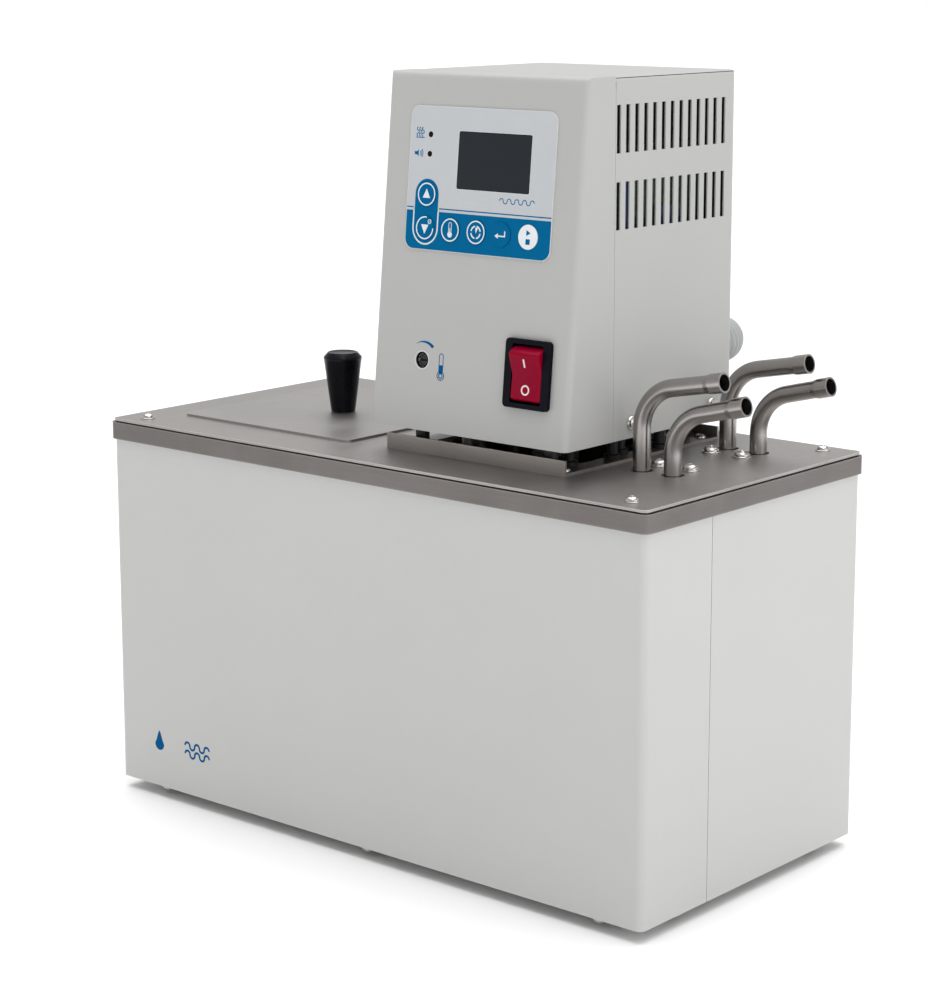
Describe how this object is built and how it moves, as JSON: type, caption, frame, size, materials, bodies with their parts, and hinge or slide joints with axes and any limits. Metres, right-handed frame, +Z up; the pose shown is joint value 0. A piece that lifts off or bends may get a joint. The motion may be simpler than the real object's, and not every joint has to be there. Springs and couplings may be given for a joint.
{
  "type": "water bath",
  "caption": "Heated circulating water bath with insulated steel tank, lift-off lid, hose tubes and a circulator head with pump, keypad and rocker switch.",
  "frame": {"origin": "on the floor under the centre of the bath's rectangular casing", "axes": "+X along the bath's long side to the right, +Y to the back (the control panel faces -Y), +Z up"},
  "size_m": [0.3339, 0.1927, 0.362],
  "materials": {
    "painted_casing": "fine-textured warm light grey powder coat",
    "galvanised": "galvanised sheet",
    "foot_rubber": "black rubber",
    "zinc_screw": "bright plated screws",
    "rim_steel": "brushed stainless steel, ground corners",
    "cover_steel": "brushed stainless sheet",
    "tray_steel": "brushed stainless sheet",
    "tube_steel": "drawn stainless tube, satin",
    "foam": "cut polyurethane foam",
    "knob_black": "black moulded thermoset, satin gloss",
    "post_black": "blackened steel",
    "film": "printed polyester film, pale above and blue below",
    "display_glass": "smoked clear window",
    "display_black": "black frame",
    "led_lens": "dark unlit lens",
    "key_blue": "printed blue key with white pictogram",
    "key_white": "printed white key",
    "board_green": "green circuit board",
    "switch_black": "black moulded plastic",
    "rocker_red": "translucent red moulded plastic",
    "limiter_cream": "cream moulded plastic",
    "spindle_black": "black moulded plastic",
    "capacitor_blue": "sleeved capacitors and parts",
    "motor_grey": "painted casting",
    "winding": "copper windings and laminations",
    "rotor_steel": "ground steel",
    "fan_black": "black moulded plastic",
    "column_steel": "stainless steel",
    "pump_black": "black glass-filled plastic",
    "impeller_cream": "cream moulded plastic",
    "heater_steel": "heat-tinted stainless tube",
    "float_white": "white foamed plastic",
    "hose_grey": "ribbed grey plastic hose"
  },
  "bodies": {
    "root": {"front_casing": "painted_casing", "rear_casing": "painted_casing", "base_pan": "galvanised", "feet": "foot_rubber", "foot_screws": "zinc_screw", "casing_screws": "zinc_screw", "tank": "rim_steel", "insulation": "foam", "cover_gasket": "foot_rubber", "cover_plate": "cover_steel", "cover_screws": "zinc_screw", "tube_bracket": "cover_steel", "bracket_screws": "zinc_screw", "pump_outlet_tube": "tube_steel", "pump_return_tube": "tube_steel", "cooling_coil": "tube_steel", "head_tray": "tray_steel", "tray_screws": "zinc_screw", "head_posts": "post_black", "head_base": "galvanised", "front_shell": "painted_casing", "rear_cover": "painted_casing", "cover_side_screws": "zinc_screw", "keypad_film": "film", "display_window": "display_glass", "display_module": "display_black", "status_leds": "led_lens", "control_board": "board_green", "switch_housing": "switch_black", "limiter_body": "limiter_cream", "power_board": "board_green", "power_parts": "capacitor_blue", "motor_housing": "motor_grey", "motor_cap": "motor_grey", "motor_stator": "winding", "bearings": "rotor_steel", "pump_column": "column_steel", "pump_housing": "pump_black", "pump_floor": "pump_black", "heater": "heater_steel", "probes": "column_steel", "float_stem": "column_steel", "mains_inlet": "switch_black", "rear_hose": "hose_grey"},
    "lid": {"lid": "cover_steel", "lid_knob": "knob_black", "lid_knob_screw": "zinc_screw"},
    "rocker": {"switch_rocker": "rocker_red"},
    "limiter_spindle": {"limiter_spindle": "spindle_black"},
    "pump_rotor": {"drive_shaft": "rotor_steel", "motor_rotor": "rotor_steel", "cooling_fan": "fan_black", "impeller": "impeller_cream"},
    "float": {"float": "float_white"},
    "key_up": {"key_up": "key_blue"},
    "key_down": {"key_down": "key_blue"},
    "key_temperature": {"key_temperature": "key_blue"},
    "key_timer": {"key_timer": "key_blue"},
    "key_enter": {"key_enter": "key_blue"},
    "key_start": {"key_start": "key_white"}
  },
  "joints": [
    {"name": "lid_lift", "type": "slide", "parent": "root", "child": "lid", "axis": [0, 0, 1], "range_m": [0, 0.08]},
    {"name": "rocker_tilt", "type": "hinge", "parent": "root", "child": "rocker", "pos_m": [0.0782, -0.05075, 0.23295], "axis": [1, 0, 0], "range_deg": [-18, 0]},
    {"name": "limiter_turn", "type": "hinge", "parent": "root", "child": "limiter_spindle", "pos_m": [0.0154, -0.05393, 0.23325], "axis": [0, 0.9954, -0.0958], "range_deg": [0, 270]},
    {"name": "pump_spin", "type": "hinge", "parent": "root", "child": "pump_rotor", "pos_m": [0.0434, 0.008, 0.0997], "axis": [0, 0, 1], "continuous": true},
    {"name": "float_rise", "type": "slide", "parent": "root", "child": "float", "axis": [0, 0, 1], "range_m": [0, 0.025]},
    {"name": "key_up_press", "type": "slide", "parent": "root", "child": "key_up", "axis": [0, 0.9954, -0.0958], "range_m": [0, 0.0004], "stiffness_N_per_m": 1500},
    {"name": "key_down_press", "type": "slide", "parent": "root", "child": "key_down", "axis": [0, 0.9954, -0.0958], "range_m": [0, 0.0004], "stiffness_N_per_m": 1500},
    {"name": "key_temperature_press", "type": "slide", "parent": "root", "child": "key_temperature", "axis": [0, 0.9954, -0.0958], "range_m": [0, 0.0004], "stiffness_N_per_m": 1500},
    {"name": "key_timer_press", "type": "slide", "parent": "root", "child": "key_timer", "axis": [0, 0.9954, -0.0958], "range_m": [0, 0.0004], "stiffness_N_per_m": 1500},
    {"name": "key_enter_press", "type": "slide", "parent": "root", "child": "key_enter", "axis": [0, 0.9954, -0.0958], "range_m": [0, 0.0004], "stiffness_N_per_m": 1500},
    {"name": "key_start_press", "type": "slide", "parent": "root", "child": "key_start", "axis": [0, 0.9954, -0.0958], "range_m": [0, 0.0004], "stiffness_N_per_m": 1500}
  ]
}
